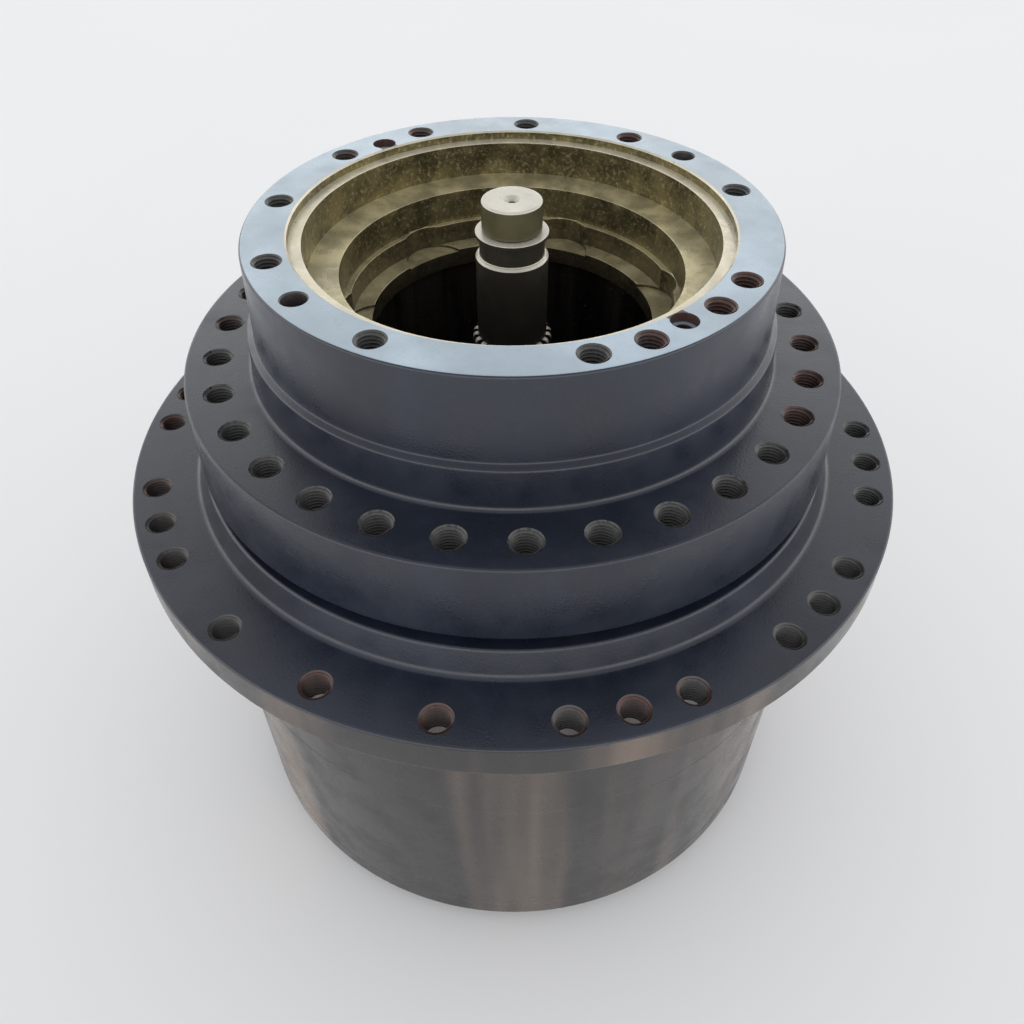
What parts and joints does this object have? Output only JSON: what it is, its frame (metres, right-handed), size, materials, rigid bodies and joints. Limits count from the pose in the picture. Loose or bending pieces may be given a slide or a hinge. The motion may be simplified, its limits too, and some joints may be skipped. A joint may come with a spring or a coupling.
{
  "type": "excavator final drive",
  "caption": "Round stepped travel gearbox with a motor flange, a frame flange, a rotating drum with sprocket flange, and a planetary train driven by a central shaft.",
  "frame": {"origin": "centre of the face that the hydraulic motor bolts to", "axes": "+Z along the drive axis, out towards the motor; -Y through the middle one of the three single sprocket bolt holes at rest"},
  "size_m": [0.5875, 0.5876, 0.5475],
  "materials": {
    "housing_paint": "semi-gloss dark blue-grey paint, bare olive metal inside the motor bore",
    "shaft_steel": "ground and oiled steel",
    "gear_steel": "hobbed and case-hardened, oiled",
    "carrier_iron": "machined casting, oiled",
    "bronze": "turned bronze",
    "bearing_steel": "ground bearing steel",
    "rubber": "matt black rubber",
    "fastener_steel": "black oxide steel"
  },
  "bodies": {
    "fixed_side": {"spindle": "housing_paint", "spindle_seal_ring": "bearing_steel", "spindle_seal_rubber": "rubber", "upper_bearing_inner_ring": "bearing_steel", "lower_bearing_inner_ring": "bearing_steel", "bearing_nut": "fastener_steel", "bearing_nut_screws": "fastener_steel", "stage_two_carrier": "carrier_iron", "stage_two_pins": "bearing_steel", "stage_two_pin_keepers": "fastener_steel", "stage_two_thrust_washers": "bronze", "carrier_bolts": "fastener_steel", "carrier_dowels": "fastener_steel"},
    "drum": {"drum_hub": "housing_paint", "ring_gear": "housing_paint", "end_cover": "housing_paint", "cover_bolts": "fastener_steel", "ring_gear_bolts": "fastener_steel", "ring_gear_dowels": "fastener_steel", "hub_seal_ring": "bearing_steel", "hub_seal_rubber": "rubber", "upper_bearing_outer_ring": "bearing_steel", "lower_bearing_outer_ring": "bearing_steel", "oil_plugs": "fastener_steel", "plug_washers": "bronze", "hub_o_ring": "rubber", "thrust_plate": "bronze", "thrust_plate_screws": "fastener_steel"},
    "first_carrier": {"stage_one_carrier": "carrier_iron", "sun_gear_two": "gear_steel", "sun_two_snap_ring": "fastener_steel", "stage_one_pins": "bearing_steel", "stage_one_pin_keepers": "fastener_steel", "stage_one_thrust_washers": "bronze"},
    "input": {"input_shaft": "shaft_steel", "sun_gear_one": "gear_steel", "sun_one_snap_ring": "fastener_steel", "thrust_button": "shaft_steel"},
    "upper_roller_set": {"upper_bearing_cage": "bearing_steel", "upper_bearing_rollers": "bearing_steel"},
    "lower_roller_set": {"lower_bearing_cage": "bearing_steel", "lower_bearing_rollers": "bearing_steel"},
    "planet_two_1": {"stage_two_planet_1": "gear_steel", "stage_two_bush_1": "bronze"},
    "planet_two_2": {"stage_two_planet_2": "gear_steel", "stage_two_bush_2": "bronze"},
    "planet_two_3": {"stage_two_planet_3": "gear_steel", "stage_two_bush_3": "bronze"},
    "planet_two_4": {"stage_two_planet_4": "gear_steel", "stage_two_bush_4": "bronze"},
    "planet_one_1": {"stage_one_planet_1": "gear_steel", "stage_one_bush_1": "bronze"},
    "planet_one_2": {"stage_one_planet_2": "gear_steel", "stage_one_bush_2": "bronze"},
    "planet_one_3": {"stage_one_planet_3": "gear_steel", "stage_one_bush_3": "bronze"}
  },
  "joints": [
    {"name": "drum_spin", "type": "hinge", "parent": "fixed_side", "child": "drum", "pos_m": [0, 0, -0.25], "axis": [0, 0, 1], "continuous": true},
    {"name": "first_carrier_spin", "type": "hinge", "parent": "fixed_side", "child": "first_carrier", "pos_m": [0, 0, -0.45], "axis": [0, 0, 1], "continuous": true},
    {"name": "input_spin", "type": "hinge", "parent": "fixed_side", "child": "input", "pos_m": [0, 0, -0.2], "axis": [0, 0, 1], "continuous": true},
    {"name": "upper_roller_set_spin", "type": "hinge", "parent": "fixed_side", "child": "upper_roller_set", "pos_m": [0, 0, -0.197], "axis": [0, 0, 1], "continuous": true},
    {"name": "lower_roller_set_spin", "type": "hinge", "parent": "fixed_side", "child": "lower_roller_set", "pos_m": [0, 0, -0.291], "axis": [0, 0, 1], "continuous": true},
    {"name": "planet_two_1_spin", "type": "hinge", "parent": "fixed_side", "child": "planet_two_1", "pos_m": [0.12, 0, -0.395], "axis": [0, 0, 1], "continuous": true},
    {"name": "planet_two_2_spin", "type": "hinge", "parent": "fixed_side", "child": "planet_two_2", "pos_m": [0, 0.12, -0.395], "axis": [0, 0, 1], "continuous": true},
    {"name": "planet_two_3_spin", "type": "hinge", "parent": "fixed_side", "child": "planet_two_3", "pos_m": [-0.12, 0, -0.395], "axis": [0, 0, 1], "continuous": true},
    {"name": "planet_two_4_spin", "type": "hinge", "parent": "fixed_side", "child": "planet_two_4", "pos_m": [0, -0.12, -0.395], "axis": [0, 0, 1], "continuous": true},
    {"name": "planet_one_1_spin", "type": "hinge", "parent": "first_carrier", "child": "planet_one_1", "pos_m": [0.09743, 0.05625, -0.475], "axis": [0, 0, 1], "continuous": true},
    {"name": "planet_one_2_spin", "type": "hinge", "parent": "first_carrier", "child": "planet_one_2", "pos_m": [-0.09743, 0.05625, -0.475], "axis": [0, 0, 1], "continuous": true},
    {"name": "planet_one_3_spin", "type": "hinge", "parent": "first_carrier", "child": "planet_one_3", "pos_m": [0, -0.1125, -0.475], "axis": [0, 0, 1], "continuous": true}
  ],
  "couplings": [
    {"joint": "first_carrier_spin", "follows": "drum_spin", "ratio": -4.3333},
    {"joint": "input_spin", "follows": "drum_spin", "ratio": -39},
    {"joint": "upper_roller_set_spin", "follows": "drum_spin", "ratio": 0.52749},
    {"joint": "lower_roller_set_spin", "follows": "drum_spin", "ratio": 0.52749},
    {"joint": "planet_two_1_spin", "follows": "drum_spin", "ratio": 2.6},
    {"joint": "planet_two_2_spin", "follows": "drum_spin", "ratio": 2.6},
    {"joint": "planet_two_3_spin", "follows": "drum_spin", "ratio": 2.6},
    {"joint": "planet_two_4_spin", "follows": "drum_spin", "ratio": 2.6},
    {"joint": "planet_one_1_spin", "follows": "drum_spin", "ratio": 12.606},
    {"joint": "planet_one_2_spin", "follows": "drum_spin", "ratio": 12.606},
    {"joint": "planet_one_3_spin", "follows": "drum_spin", "ratio": 12.606}
  ]
}
